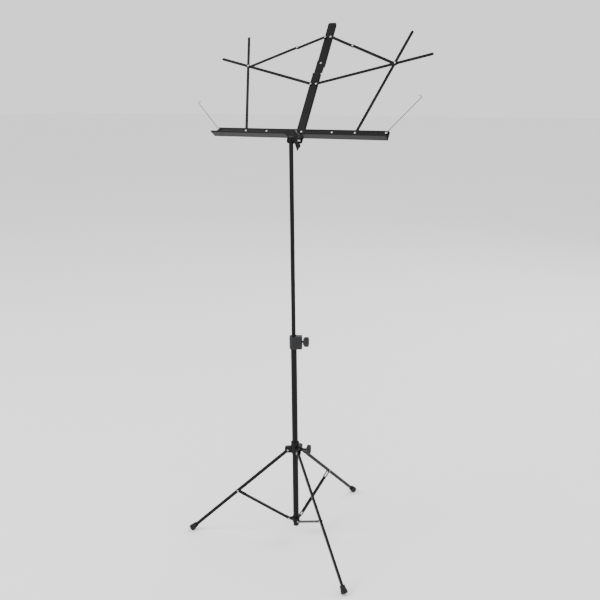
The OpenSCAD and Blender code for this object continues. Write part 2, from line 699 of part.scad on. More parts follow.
module lower_link_rivets() color(steel) for (s = [-1, 1]) {
  desk_pin(s * rivet_half, lower_rivet_v, -spine_t, lower_n + link_t, desk_rivet_r);
  desk_head(s * rivet_half, lower_rivet_v, lower_n + link_t, 1);
  desk_head(s * rivet_half, lower_rivet_v, -spine_t, -1);
}

module upper_link_rivets() color(steel) for (s = [-1, 1]) {
  desk_pin(s * rivet_half, upper_rivet_v, upper_web_n - spine_t, inner_n + link_t, desk_rivet_r);
  desk_head(s * rivet_half, upper_rivet_v, inner_n + link_t, 1);
  desk_head(s * rivet_half, upper_rivet_v, upper_web_n - spine_t, -1);
  desk_ring(s * rivet_half, upper_rivet_v, upper_web_n, inner_n - gap / 2);
}

// ---------- desk halves ----------

// Right-hand tray half: back plate, shelf, front lip, all one folded sheet
module tray() color(black)
  difference() {
    union() {
      sheet(tray_n, tray_t)
        polygon(concat(
          [[rivet_half - tray_top, -tray_drop]],
          [[tray_half_len, -tray_drop], [tray_half_len, tray_top - tray_corner],
           [tray_half_len - tray_corner, tray_top]],
          [for (a = [90:15:180]) [rivet_half, 0] + tray_top * [cos(a), sin(a)]]));
      desk() rotate([90, 0, 90]) translate([0, 0, shelf_start]) linear_extrude(tray_half_len - shelf_start)
        translate([head_back - tray_n, head_up - tray_drop])
          polygon([[0, 0], [-tray_shelf, 0],
                   [-tray_shelf - tray_lip * lip_lean, tray_lip],
                   [-tray_shelf - tray_lip * lip_lean + tray_t, tray_lip],
                   [-tray_shelf + tray_t * 0.6, tray_t], [0, tray_t]]);
    }
    for (x = [rivet_half, upright_x, stud_x, wire_x])
      desk_pin(x, 0, tray_n - 1, tray_n + tray_t + 1, desk_rivet_r + fit);
  }
module tray_left() side(-1) tray();
module tray_right() tray();

// Upright rivet, trim rivet and page wire stud of one tray half
module tray_studs(wire_layer) color(steel) {
  desk_pin(upright_x, 0, upright_n, tray_n + tray_t, desk_rivet_r);
  desk_head(upright_x, 0, tray_n + tray_t, 1);
  desk_ring(upright_x, 0, upright_n + link_t + gap, tray_n);
  desk_pin(stud_x, 0, tray_n, tray_n + tray_t, desk_rivet_r);
  desk_head(stud_x, 0, tray_n + tray_t, 1);
  desk_pin(wire_x, 0, tray_n, wire_n[wire_layer] + wire_d / 2 + wire_play, desk_rivet_r);
  desk_head(wire_x, 0, wire_n[wire_layer] + wire_d / 2 + wire_play, 1);
}
module tray_studs_left() side(-1) tray_studs(1);
module tray_studs_right() tray_studs(0);

module lower_link() color(black)
  link(rivet_half, lower_rivet_v, lower_dir, lower_link_reach, lower_n, [0, lower_link_len]);
module lower_link_left() side(-1) lower_link();
module lower_link_right() lower_link();

// Rear half of the crossing rivet with its spacer, carried by the lower link
module cross_spacer() color(steel) {
  desk_pin(cross_x, cross_v, outer_n + link_t + gap, lower_n + link_t, desk_rivet_r);
  desk_ring(cross_x, cross_v, outer_n + link_t + gap, lower_n);
}
module cross_spacer_left() side(-1) cross_spacer();
module cross_spacer_right() cross_spacer();

module upright() color(black)
  link(upright_x, 0, upright_dir, upright_reach, upright_n, [0, upright_len]);
module upright_left() side(-1) upright();
module upright_right() upright();

// Front half of the crossing rivet with its spacer, carried by the upright
module cross_rivet() color(steel) {
  desk_pin(cross_x, cross_v, lower_n + link_t + gap, upright_n + link_t, desk_rivet_r);
  desk_head(cross_x, cross_v, upright_n + link_t, 1);
  desk_ring(cross_x, cross_v, lower_n + link_t + gap, upright_n);
}
module cross_rivet_left() side(-1) cross_rivet();
module cross_rivet_right() cross_rivet();

module inner_link() color(black)
  link(rivet_half, upper_rivet_v, upper_dir, inner_len + bar_r, inner_n, [0, inner_len]);
module inner_link_left() side(-1) inner_link();
module inner_link_right() inner_link();

module outer_link() color(black)
  link(elbow_x, elbow_v, upper_dir, outer_len + bar_r, outer_n, [0, outer_len]);
module outer_link_left() side(-1) outer_link();
module outer_link_right() outer_link();

// Elbow rivet of the two upper links with the spacer between them
module elbow_rivet() color(steel) {
  desk_pin(elbow_x, elbow_v, inner_n, outer_n + link_t, desk_rivet_r);
  desk_head(elbow_x, elbow_v, outer_n + link_t, 1);
  desk_ring(elbow_x, elbow_v, inner_n + link_t + gap, outer_n);
}
module elbow_rivet_left() side(-1) elbow_rivet();
module elbow_rivet_right() elbow_rivet();

// Page wire: an eye round its stud, a straight arm and a small hooked tip
module page_wire(wire_layer) color(steel)
  desk() translate([wire_x, head_back - wire_n[wire_layer], head_up])
    rotate([90, 0, 0]) rotate(wire_turns[wire_layer]) {
      eye_r = desk_rivet_r + fit + wire_d / 2;
      rotate_extrude() translate([eye_r, 0]) circle(r = wire_d / 2, $fn = 24);
      translate([eye_r, 0, 0]) rotate([0, 90, 0])
        cylinder(r = wire_d / 2, h = wire_reach - eye_r, $fn = 24);
      translate([wire_reach, hook_r, 0]) rotate(-90) rotate_extrude(angle = hook_turn)
        translate([hook_r, 0]) circle(r = wire_d / 2, $fn = 24);
    }
module page_wire_left() side(-1) page_wire(1);
module page_wire_right() page_wire(0);

lower_tube();
end_plug();
foot_bracket();
bracket_pins();
bracket_pin_1();
collar();
collar_screw();
collar_knob();
leg_hub();
hub_pins();
hub_pin_1();
hub_screw();
hub_knob();
leg_1();
leg_2();
leg_3();
strut_1();
strut_2();
strut_3();
strut_rivet_1();
strut_rivet_2();
strut_rivet_3();
foot_1();
foot_2();
foot_3();
guide_bush();
upper_tube();
tube_plug();
tilt_bracket();
tilt_bolt();
wing_nut();
lower_spine();
upper_spine();
centre_rivet();
tray_rivets();
lower_link_rivets();
upper_link_rivets();
tray_left();
tray_right();
tray_studs_left();
tray_studs_right();
lower_link_left();
lower_link_right();
cross_spacer_left();
cross_spacer_right();
upright_left();
upright_right();
cross_rivet_left();
cross_rivet_right();
inner_link_left();
inner_link_right();
outer_link_left();
outer_link_right();
elbow_rivet_left();
elbow_rivet_right();
page_wire_left();
page_wire_right();
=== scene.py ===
"""A folding music stand: wire-style desk, two-part mast and folding tripod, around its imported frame."""
import json
import math

import bmesh
import bpy
import numpy as np
from mathutils import Matrix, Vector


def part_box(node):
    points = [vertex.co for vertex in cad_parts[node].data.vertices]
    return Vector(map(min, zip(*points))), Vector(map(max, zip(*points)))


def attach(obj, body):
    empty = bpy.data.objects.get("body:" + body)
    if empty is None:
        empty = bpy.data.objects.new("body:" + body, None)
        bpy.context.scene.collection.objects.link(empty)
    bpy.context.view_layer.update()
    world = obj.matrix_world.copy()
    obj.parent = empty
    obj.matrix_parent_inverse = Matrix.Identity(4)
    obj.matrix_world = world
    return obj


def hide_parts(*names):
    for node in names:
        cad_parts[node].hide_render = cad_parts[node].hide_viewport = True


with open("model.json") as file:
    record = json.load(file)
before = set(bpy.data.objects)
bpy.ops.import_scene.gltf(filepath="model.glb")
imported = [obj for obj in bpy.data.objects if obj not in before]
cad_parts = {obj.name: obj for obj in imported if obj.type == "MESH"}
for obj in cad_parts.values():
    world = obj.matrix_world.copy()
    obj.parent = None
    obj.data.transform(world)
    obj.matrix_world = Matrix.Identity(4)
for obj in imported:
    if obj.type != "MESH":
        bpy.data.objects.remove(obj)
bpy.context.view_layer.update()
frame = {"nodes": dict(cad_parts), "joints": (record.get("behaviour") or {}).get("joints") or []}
joint = {j["name"]: j for j in frame["joints"]}
MM = 0.001

# ---------------------------------------------------------------- the view
# The camera stands to the reader's right, level with the desk, and looks slightly down.
view_turn = math.radians(28.34)          # round the mast from straight in front
view_yaw = math.radians(0.51)
view_pitch = math.radians(15.47)
view_roll = math.radians(-0.63)
view_away, view_height = 1.605, 1.0
camera_data = bpy.data.cameras.new("camera")
camera_data.lens = 47.66
camera_data.sensor_width = 36.0
camera_data.dof.use_dof = False
camera = bpy.data.objects.new("camera", camera_data)
bpy.context.scene.collection.objects.link(camera)
forward = np.array([math.sin(view_yaw) * math.cos(view_pitch),
                    math.cos(view_yaw) * math.cos(view_pitch), -math.sin(view_pitch)])
right = np.array([math.cos(view_yaw), -math.sin(view_yaw), 0.0])
above = np.cross(right, forward)
rolled_right = right * math.cos(view_roll) + above * math.sin(view_roll)
rolled_up = above * math.cos(view_roll) - right * math.sin(view_roll)
level = Matrix([[rolled_right[i], rolled_up[i], -forward[i]] for i in range(3)]).to_4x4()
camera.matrix_world = (Matrix.Rotation(view_turn, 4, "Z")
                       @ Matrix.Translation((0.0, -view_away, view_height)) @ level)
bpy.context.scene.camera = camera


# ---------------------------------------------------------------- the studio
# A plain pale floor under a white tent: soft light from all round, a large light from the
# upper left, a weaker one on the right and a third from behind, so that black edges show.
def linear(hex_colour):
    """sRGB hex to linear RGBA: each channel by the sRGB transfer curve."""
    srgb = np.array([int(hex_colour[i:i + 2], 16) for i in (1, 3, 5)]) / 255.0
    low, high = srgb / 12.92, ((srgb + 0.055) / 1.055) ** 2.4
    return (*np.where(srgb <= 0.04045, low, high).tolist(), 1.0)


def add_node(tree, kind, settings=None, links=None):
    """Adds a node: settings are attributes or input values, links are input name: output socket."""
    node = tree.nodes.new(kind)
    for key, value in (settings or {}).items():
        if isinstance(key, str) and hasattr(node, key):
            setattr(node, key, value)
        else:
            node.inputs[key].default_value = value
    for key, socket in (links or {}).items():
        tree.links.new(socket, node.inputs[key])
    return node


def new_material(name):
    """An empty node material: returns it, its tree, its shader and the Object coordinates."""
    material = bpy.data.materials.new(name)
    material.use_nodes = True
    tree = material.node_tree
    shader = tree.nodes["Principled BSDF"]
    place = add_node(tree, "ShaderNodeTexCoord").outputs["Object"]
    return material, tree, shader, place


def noise(tree, place, scale, detail=2.0):
    """The factor of a noise texture. Scale is one over the size of its patches in metres."""
    return add_node(tree, "ShaderNodeTexNoise", {"Scale": scale, "Detail": detail},
                    {"Vector": place}).outputs["Fac"]


def set_colour(tree, shader, factor, first, second):
    """Base colour: first where the factor is 0, second where it is 1, and a blend between."""
    ramp = add_node(tree, "ShaderNodeValToRGB", links={"Fac": factor})
    ramp.color_ramp.elements[0].color = linear(first)
    ramp.color_ramp.elements[1].color = linear(second)
    tree.links.new(ramp.outputs["Color"], shader.inputs["Base Color"])


floor_size = 40.0
floor_paper, floor_tree, floor_shader, floor_place = new_material("white_backdrop_paper")
set_colour(floor_tree, floor_shader, noise(floor_tree, floor_place, 1.5), "#f4f4f4", "#f8f8f8")
floor_shader.inputs["Roughness"].default_value = 0.9
floor_mesh = bpy.data.meshes.new("floor")
corner = np.array([[-1, -1, 0], [1, -1, 0], [1, 1, 0], [-1, 1, 0]]) * floor_size / 2
floor_mesh.from_pydata(corner.tolist(), [], [[0, 1, 2, 3]])
floor = bpy.data.objects.new("floor", floor_mesh)
floor_mesh.materials.append(floor_paper)
bpy.context.scene.collection.objects.link(floor)

world = bpy.data.worlds.new("white_tent")
world.use_nodes = True
world.node_tree.nodes["Background"].inputs["Color"].default_value = (1.0, 1.0, 1.0, 1.0)
world.node_tree.nodes["Background"].inputs["Strength"].default_value = 1.3
bpy.context.scene.world = world


def soft_light(name, place, aim, size, power):
    """A square area light at place, turned so that it looks at aim."""
    data = bpy.data.lights.new(name, "AREA")
    data.size = size
    data.energy = power
    light = bpy.data.objects.new(name, data)
    bpy.context.scene.collection.objects.link(light)
    look = np.array(aim) - np.array(place)
    back = -look / np.linalg.norm(look)
    side = np.cross([0.0, 0.0, 1.0], back)
    side /= np.linalg.norm(side)
    top = np.cross(back, side)
    turned = Matrix([[side[i], top[i], back[i]] for i in range(3)]).to_4x4()
    light.matrix_world = Matrix.Translation(place) @ turned


soft_light("key", (-2.4, -2.2, 2.8), (0.0, 0.0, 0.6), 1.6, 110.0)
soft_light("fill", (2.6, -1.6, 1.6), (0.0, 0.0, 0.6), 2.0, 30.0)
soft_light("rim", (0.8, 2.4, 2.4), (0.0, 0.0, 0.7), 1.6, 50.0)


# ---------------------------------------------------------------- black powder coat
# Steel sheet and tube, sprayed with black polyester powder and baked: an even satin black with a
# fine orange peel of about 0.9 mm, a little dust and handling that make the gloss uneven.
def set_gloss(tree, shader, factor, smooth, rough, low=0.0, high=1.0):
    """Roughness: smooth where the factor is low, rough where it is high, in proportion between."""
    spread = add_node(tree, "ShaderNodeMapRange",
                      {"From Min": low, "From Max": high, "To Min": smooth, "To Max": rough},
                      {"Value": factor})
    tree.links.new(spread.outputs["Result"], shader.inputs["Roughness"])


def set_bump(tree, shader, factor, strength, depth_mm):
    """Bump: the factor as height, depth_mm from 0 to 1."""
    bump = add_node(tree, "ShaderNodeBump", {"Strength": strength, "Distance": depth_mm * MM},
                    {"Height": factor})
    tree.links.new(bump.outputs["Normal"], shader.inputs["Normal"])


def powder_coat(name, tone, dusty):
    """Satin black: dark base, slow gloss changes, fine peel as bump."""
    material, tree, shader, place = new_material(name)
    slow = noise(tree, place, 1 / (38 * MM), 3.0)
    set_colour(tree, shader, slow, tone, dusty)
    set_gloss(tree, shader, slow, 0.3, 0.42, low=0.3, high=0.7)
    set_bump(tree, shader, noise(tree, place, 1 / (0.9 * MM)), 0.25, 0.05)
    shader.inputs["IOR"].default_value = 1.22
    return material


black_coat = powder_coat("black_powder_coat", "#0b0b0c", "#121213")
black_fitting = powder_coat("black_painted_fitting", "#0c0c0d", "#131314")


def surface(grid, close_u=False, close_v=False, cap_start=False, cap_end=False, keep=None):
    """Vertices and faces of a grid of points (rows, columns): each cell becomes one quad.
    close_u joins the last row to the first, close_v the last column to the first, and a cap
    fills a closed first or last row with one face. keep is a mask of cells."""
    rows, columns = grid.shape[:2]
    index = np.arange(rows * columns).reshape(rows, columns)
    if close_u:
        index = np.vstack([index, index[:1]])
    if close_v:
        index = np.hstack([index, index[:, :1]])
    quads = np.stack([index[:-1, :-1], index[1:, :-1], index[1:, 1:], index[:-1, 1:]], axis=-1)
    quads = quads[keep] if keep is not None else quads.reshape(-1, 4)
    faces = quads.tolist()
    ring = np.arange(columns)
    if cap_start:
        faces.append(ring.tolist())
    if cap_end:
        faces.append((ring[::-1] + (rows - 1) * columns).tolist())
    return grid.reshape(-1, 3), faces


def join(parts):
    """Several (vertices, faces) as one."""
    points, faces, start = [], [], 0
    for vertices, polygons in parts:
        points.append(vertices)
        faces += [[i + start for i in polygon] for polygon in polygons]
        start += len(vertices)
    return np.vstack(points), faces


def place_piece(name, shape, body, material, node=None, sharp=35.0, sheet=None, edge=None):
    """Makes a piece of (vertices, faces) in metres that rides on a body and may stand for a node.
    Doubled points at poles and seams are welded. Faces of more than four corners, such as end caps,
    are shaded flat. sheet gives a wall of that thickness, half to each side, and edge rounds the
    sharp edges."""
    vertices, faces = shape
    mesh = bpy.data.meshes.new(name)
    mesh.from_pydata(np.asarray(vertices).tolist(), [], faces)
    weld = bmesh.new()
    weld.from_mesh(mesh)
    bmesh.ops.remove_doubles(weld, verts=weld.verts, dist=0.001 * MM)
    weld.to_mesh(mesh)
    weld.free()
    mesh.shade_smooth()
    mesh.set_sharp_from_angle(angle=math.radians(sharp))
    for polygon in mesh.polygons:
        polygon.use_smooth = polygon.loop_total <= 4
    mesh.materials.append(material)
    piece = bpy.data.objects.new(name, mesh)
    bpy.context.scene.collection.objects.link(piece)
    if sheet:
        wall = piece.modifiers.new("wall", "SOLIDIFY")
        wall.thickness, wall.offset, wall.use_even_offset = sheet, 0.0, True
    if edge:
        bevel = piece.modifiers.new("edge", "BEVEL")
        bevel.width, bevel.segments, bevel.limit_method = edge, 2, "ANGLE"
        bevel.angle_limit = math.radians(sharp)
    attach(piece, body)
    if node:
        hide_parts(node)
    return piece


def spin(outline, turns=48):
    """An outline of (radius, height) turned about Z: point = (r cos a, -r sin a, h). The circle is
    walked clockwise, so that an outline drawn upwards faces outwards."""
    outline = np.asarray(outline, float)
    angle = np.linspace(0, 2 * np.pi, turns, endpoint=False)
    radius, height = outline[:, :1], outline[:, 1:]
    return np.stack([radius * np.cos(angle), -radius * np.sin(angle),
                     np.broadcast_to(height, (len(outline), turns))], axis=-1)


def stand_on(points, origin, axis, lead=(1.0, 0.0, 0.0)):
    """Turns local points so that local Z runs along axis and local X as near lead as it can, then
    moves them to origin: world = origin + x * side + y * across + z * axis."""
    axis = np.asarray(axis, float) / np.linalg.norm(axis)
    side = np.asarray(lead, float) - axis * np.dot(lead, axis)
    side /= np.linalg.norm(side)
    across = np.cross(axis, side)
    return np.asarray(origin) + points @ np.stack([side, across, axis])


def arc(centre, radius, start, end, steps):
    """Points on an arc in a plane, from start to end in degrees."""
    angle = np.radians(np.linspace(start, end, steps))
    return np.stack([centre[0] + radius * np.cos(angle), centre[1] + radius * np.sin(angle)], axis=-1)


# ---------------------------------------------------------------- lower tube
# Seamed steel tube, 13 mm across with a 1 mm wall, powder coated. It stands in the foot bracket and
# carries the collar at its top; both ends are cut square and lightly deburred.
def tube_outline(bottom, top, radius, wall, edge=0.25, step=24.0):
    """Up the outside with a ring every step, over a rounded rim, down the inside and round again."""
    heights = np.arange(bottom + step, top - step / 2, step)
    outside = np.stack([np.full_like(heights, radius), heights], axis=-1)
    inner = radius - wall
    return np.vstack([[[inner, bottom + edge], [inner + edge, bottom], [radius - edge, bottom],
                       [radius - 0.3 * edge, bottom + 0.3 * edge], [radius, bottom + edge]], outside,
                      [[radius, top - edge], [radius - 0.3 * edge, top - 0.3 * edge],
                       [radius - edge, top], [inner + edge, top], [inner, top - edge]]])


lower_low, lower_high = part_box("lower_tube")
lower_radius = (lower_high[0] - lower_low[0]) / 2 / MM
lower_wall = 1.0
lower_outline = tube_outline(lower_low[2] / MM, lower_high[2] / MM, lower_radius, lower_wall)
place_piece("lower_tube_coated", surface(spin(lower_outline, 64) * MM, close_u=True, close_v=True),
            "lower_mast", black_coat, "lower_tube")


# ---------------------------------------------------------------- end plug
# Push-in plug of black nylon that closes the bottom of the lower tube. The nylon is injection
# moulded with a spark-eroded grain of about 0.6 mm: matt, and paler than the paint in grazing light.
def moulded_nylon(name, tone, worn):
    """Charcoal plastic with a fine mould grain in gloss and bump and slow patches of colour."""
    material, tree, shader, place = new_material(name)
    grain = noise(tree, place, 1 / (0.6 * MM), 3.0)
    set_colour(tree, shader, noise(tree, place, 1 / (9 * MM)), tone, worn)
    set_gloss(tree, shader, grain, 0.42, 0.6)
    set_bump(tree, shader, grain, 0.35, 0.08)
    shader.inputs["IOR"].default_value = 1.32
    return material


nylon = moulded_nylon("black_moulded_nylon", "#19191b", "#202123")
plug_low, plug_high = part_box("end_plug")
plug_bottom, plug_top = plug_low[2] / MM, plug_high[2] / MM
plug_radius = (plug_high[0] - plug_low[0]) / 2 / MM
plug_rim, push_fit = 1.8, 0.02
shank_radius = lower_radius - lower_wall - push_fit
plug_outline = np.vstack([[[0.0, plug_bottom], [plug_radius - 1.4, plug_bottom]],
                          arc((plug_radius - 0.9, plug_bottom + 0.9), 0.9, -90, 0, 6),
                          [[plug_radius, plug_bottom + plug_rim], [shank_radius, plug_bottom + plug_rim],
                           [shank_radius, plug_top - 0.6], [shank_radius - 0.6, plug_top], [0.0, plug_top]]])
place_piece("end_plug_moulded", surface(spin(plug_outline) * MM, close_v=True),
            "lower_mast", nylon, "end_plug")


# ---------------------------------------------------------------- foot bracket, hub and collar
# The foot bracket and the hub are cast and sprayed black, and the collar is moulded nylon. They
# are solid parts, so each keeps its own solid, with every edge given the small round it has.
def soften(node, body, material, edge):
    """A copy of a node: doubled points merged, flat faces joined, and sharp edges rounded by edge."""
    mesh = bpy.data.meshes.new(node + "_finished")
    work = bmesh.new()
    work.from_mesh(frame["nodes"][node].data)
    bmesh.ops.remove_doubles(work, verts=work.verts, dist=0.002 * MM)
    bmesh.ops.dissolve_limit(work, angle_limit=math.radians(1.0), verts=work.verts, edges=work.edges)
    work.to_mesh(mesh)
    work.free()
    mesh.shade_smooth()
    mesh.set_sharp_from_angle(angle=math.radians(32))
    mesh.materials.clear()
    mesh.materials.append(material)
    piece = bpy.data.objects.new(node + "_finished", mesh)
    bpy.context.scene.collection.objects.link(piece)
    bevel = piece.modifiers.new("edge", "BEVEL")
    bevel.width, bevel.segments, bevel.limit_method = edge, 2, "ANGLE"
    bevel.angle_limit = math.radians(32)
    bevel.harden_normals = True
    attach(piece, body)
    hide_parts(node)
    return piece


soften("foot_bracket", "lower_mast", black_fitting, 0.25 * MM)
soften("leg_hub", "hub", black_fitting, 0.3 * MM)
soften("collar", "lower_mast", nylon, 0.6 * MM)


# ---------------------------------------------------------------- legs
# Each leg is a strip of 0.9 mm steel rolled to a channel 4.8 by 7 mm that opens towards the mast,
# with a round nose between the cheeks of the hub. Its pivots come from the joints.
def pivot(name):
    """Where a joint's axis passes, in metres."""
    return np.array(joint[name]["pos_m"])


def bend_section(width, depth, wall, bend, steps=5):
    """Middle line of a channel in (across, up), web on top, and the same with the corners straight:
    each side runs on to its full height, as it does where the web is cut away."""
    half, up = (width - wall) / 2, (depth - wall) / 2
    corner_arc = arc((bend - half, up - bend), bend, 180, 90, steps)
    rise = np.linspace(up - bend, depth / 2, steps)
    bent = np.vstack([[[-half, -depth / 2]], corner_arc])
    straight = np.vstack([[[-half, -depth / 2]], np.stack([np.full(steps, -half), rise], axis=-1)])
    return [np.vstack([side, (side * [-1, 1])[::-1]]) for side in (bent, straight)]


def channel(length, width, depth, wall, bend, web_from, web_to, round_end, steps=110):
    """A channel along X: the section carried from a round nose to length. Its height follows a
    circle of half its depth at the nose, and at the far end too if round_end. The web lies between
    web_from and web_to; outside it the section turns from bent to straight over 1 mm."""
    bent, straight = bend_section(width, depth, wall, bend)
    radius = depth / 2
    nose = radius * np.cos(np.linspace(0.2, np.pi / 2, 9))
    body = np.linspace(radius / 4, length - radius / 4, steps)
    edges = np.array([web_from - 1, web_from, web_to, web_to + 1])
    inside = np.unique(np.concatenate([body, edges[(edges > radius / 4) & (edges < length - radius / 4)]]))
    far = length + nose[::-1] if round_end else np.array([length])
    along = np.concatenate([-nose, inside, far])
    over = np.clip(np.maximum(-along, (along - length) if round_end else -1.0), 0, None) / radius
    tall = np.sqrt(np.clip(1 - over ** 2, 0.03, 1))
    opened = np.clip(np.maximum(web_from - along, along - web_to), 0, 1)[:, None, None]
    section = bent * (1 - opened) + straight * opened
    grid = np.stack([np.broadcast_to(along[:, None], section.shape[:2]), section[..., 0],
                     section[..., 1] * tall[:, None]], axis=-1)
    middle = (along[1:] + along[:-1]) / 2
    web_cell = np.arange(len(bent) - 1) == len(bent) // 2 - 1
    keep = ~web_cell[None, :] | ((middle > web_from) & (middle < web_to))[:, None]
    return grid, keep


def lay(grid, origin, run):
    """Lays (along, across, up) points from origin in direction run, with up as upright as it goes."""
    points = np.stack([grid[..., 2], -grid[..., 1], grid[..., 0]], axis=-1)
    return stand_on(points * MM, origin, run, (0.0, 0.0, 1.0))


strut_pivots = [pivot("tripod_fold"), pivot("strut_2_turn"), pivot("strut_3_turn")]
leg_pivots = [pivot(f"leg_{k}_turn") for k in (1, 2, 3)]
hub_pivots = [np.array([p[0], p[1], pivot("hub_travel")[2]]) for p in strut_pivots]
leg_width, leg_depth, leg_wall, leg_bend, leg_end = 4.8, 7.0, 0.9, 1.0, 305.0
leg_web_from, past_end = 2.0, 9.0
for k in range(3):
    leg_grid, leg_keep = channel(leg_end, leg_width, leg_depth, leg_wall, leg_bend,
                                 leg_web_from, leg_end + past_end, False)
    place_piece(f"leg_{k + 1}_channel",
                surface(lay(leg_grid, hub_pivots[k], leg_pivots[k] - hub_pivots[k]), keep=leg_keep),
                f"leg_{k + 1}_arm", black_coat, f"leg_{k + 1}",
                sheet=leg_wall * MM, edge=0.12 * MM)


# ---------------------------------------------------------------- struts
# Each strut is a shallower 0.8 mm channel, 6.7 by 4.4 mm. Its web is cut away at both ends, so that
# one end forks round the leg and the other round the bracket's lug.
strut_width, strut_depth, strut_wall, strut_bend = 6.7, 4.4, 0.8, 0.8
strut_web_from, strut_fork = 8.0, 20.0
for k in range(3):
    strut_run = leg_pivots[k] - strut_pivots[k]
    strut_length = np.linalg.norm(strut_run) / MM
    strut_grid, strut_keep = channel(strut_length, strut_width, strut_depth, strut_wall, strut_bend,
                                     strut_web_from, strut_length - strut_fork, True)
    place_piece(f"strut_{k + 1}_channel",
                surface(lay(strut_grid, strut_pivots[k], strut_run), keep=strut_keep),
                f"strut_{k + 1}_arm", black_coat, f"strut_{k + 1}",
                sheet=strut_wall * MM, edge=0.12 * MM)


# ---------------------------------------------------------------- rubber feet
# Moulded rubber boots pushed over the ends of the legs: a slim neck with a lip, a flared skirt with
# two grip rings, and a corner worn flat on the floor. Matt black rubber with a dusty bloom.
rubber, rubber_tree, rubber_shader, rubber_place = new_material("black_moulded_rubber")
bloom = noise(rubber_tree, rubber_place, 1 / (5 * MM), 4.0)
set_colour(rubber_tree, rubber_shader, bloom, "#101011", "#1d1d1e")
set_bump(rubber_tree, rubber_shader, noise(rubber_tree, rubber_place, 1 / (0.5 * MM)), 0.3, 0.06)
set_gloss(rubber_tree, rubber_shader, bloom, 0.6, 0.82)
rubber_shader.inputs["IOR"].default_value = 1.3

foot_radius, foot_neck, foot_length, foot_end = 7.4, 5.3, 16.0, 307.5
foot_start = foot_end - foot_length
foot_outline = np.vstack([
    [[0.0, foot_start + 5], [2.2, foot_start + 5], [2.2, foot_start + 0.3], [foot_neck - 0.3, foot_start]],
    arc((foot_neck, foot_start + 0.6), 0.55, -60, 60, 5),
    [[foot_neck + 0.1, foot_start + 1.6], [foot_neck + 0.5, foot_start + 4.5],
     [foot_neck + 0.9, foot_start + 7.2], [foot_neck + 1.4, foot_start + 9.4]],
    arc((foot_radius - 0.55, foot_start + 10.6), 0.45, -70, 70, 5),
    [[foot_radius - 0.5, foot_start + 11.8]],
    arc((foot_radius - 0.4, foot_start + 12.9), 0.4, -70, 70, 5),
    arc((foot_radius - 0.8, foot_end - 0.8), 0.8, -10, 90, 6),
    [[foot_radius * 0.55, foot_end], [foot_radius * 0.5, foot_end - 0.6], [0.0, foot_end - 0.6]]])
for k in range(3):
    foot_points = stand_on(spin(foot_outline, 56) * MM, hub_pivots[k], leg_pivots[k] - hub_pivots[k])
    foot_points[..., 2] = np.maximum(foot_points[..., 2], 0.0)
    place_piece(f"foot_{k + 1}_boot", surface(foot_points, close_v=True), f"leg_{k + 1}_arm",
                rubber, f"foot_{k + 1}")


# ---------------------------------------------------------------- rivets of the tripod
# Solid steel rivets, zinc plated, with low round heads: one through each leg and strut, and one at
# each lug of the foot bracket. Each hub arm holds a short rivet in either cheek.
def plated(name, tone, dull, grain_mm, rough_low, rough_high):
    """Zinc, black oxide or bare drawn metal: slow cloudy tone, fine scratches that vary the gloss."""
    material, tree, shader, place = new_material(name)
    set_colour(tree, shader, noise(tree, place, 1 / (4 * MM), 3.0), dull, tone)
    grain = noise(tree, place, 1 / (grain_mm * MM), 4.0)
    set_gloss(tree, shader, grain, rough_low, rough_high)
    set_bump(tree, shader, grain, 0.15, 0.03)
    shader.inputs["Metallic"].default_value = 1.0
    return material


zinc = plated("zinc_plated_steel", "#a6a8ac", "#8b8d91", 0.35, 0.26, 0.44)


def pin_outline(steps, start_head=None, end_head=None, dome=7):
    """Outline of a pin of stacked (start, end, radius) lengths. A head of (radius, height) is a
    quarter ellipse: r cos t beside the axis and h sin t past the end."""
    rows = []
    lift = np.linspace(0, np.pi / 2, dome)
    first, last = steps[0][0], steps[-1][1]
    if start_head:
        rows += [[start_head[0] * np.cos(t), first - start_head[1] * np.sin(t)] for t in lift[::-1]]
    else:
        rows.append([0.0, first])
    for low, high, radius in steps:
        rows += [[radius, low], [radius, high]]
    if end_head:
        rows += [[end_head[0] * np.cos(t), last + end_head[1] * np.sin(t)] for t in lift]
    else:
        rows.append([0.0, last])
    return np.array(rows)


tripod_pin, tripod_head = 1.3, (2.1, 0.7)
strut_pin_half = (strut_width + 0.15) / 2
cheek_in, cheek_out = 2.7, 4.075
turn_axes = [np.array(joint[name]["axis"]) for name in ("tripod_fold", "strut_2_turn", "strut_3_turn")]


def pin_at(outline, place, axis, turns=28):
    """A pin along axis at place, its outline in mm from there."""
    return surface(stand_on(spin(outline, turns) * MM, place, axis), close_v=True)


through = pin_outline([(-strut_pin_half, strut_pin_half, tripod_pin)], tripod_head, tripod_head)
cheek = pin_outline([(cheek_in, cheek_out, tripod_pin)], None, tripod_head)
for k in range(3):
    place_piece(f"strut_rivet_{k + 1}_plated", pin_at(through, leg_pivots[k], turn_axes[k]),
                f"strut_{k + 1}_arm", zinc, f"strut_rivet_{k + 1}")
place_piece("bracket_pin_1_plated", pin_at(through, strut_pivots[0], turn_axes[0]),
            "bracket_pin", zinc, "bracket_pin_1")
place_piece("bracket_pins_plated", join([pin_at(through, strut_pivots[k], turn_axes[k]) for k in (1, 2)]),
            "lower_mast", zinc, "bracket_pins")
hub_pairs = [join([pin_at(cheek, hub_pivots[k], s * turn_axes[k]) for s in (-1, 1)]) for k in range(3)]
place_piece("hub_pin_1_plated", hub_pairs[0], "hub_pin", zinc, "hub_pin_1")
place_piece("hub_pins_plated", join(hub_pairs[1:]), "hub", zinc, "hub_pins")


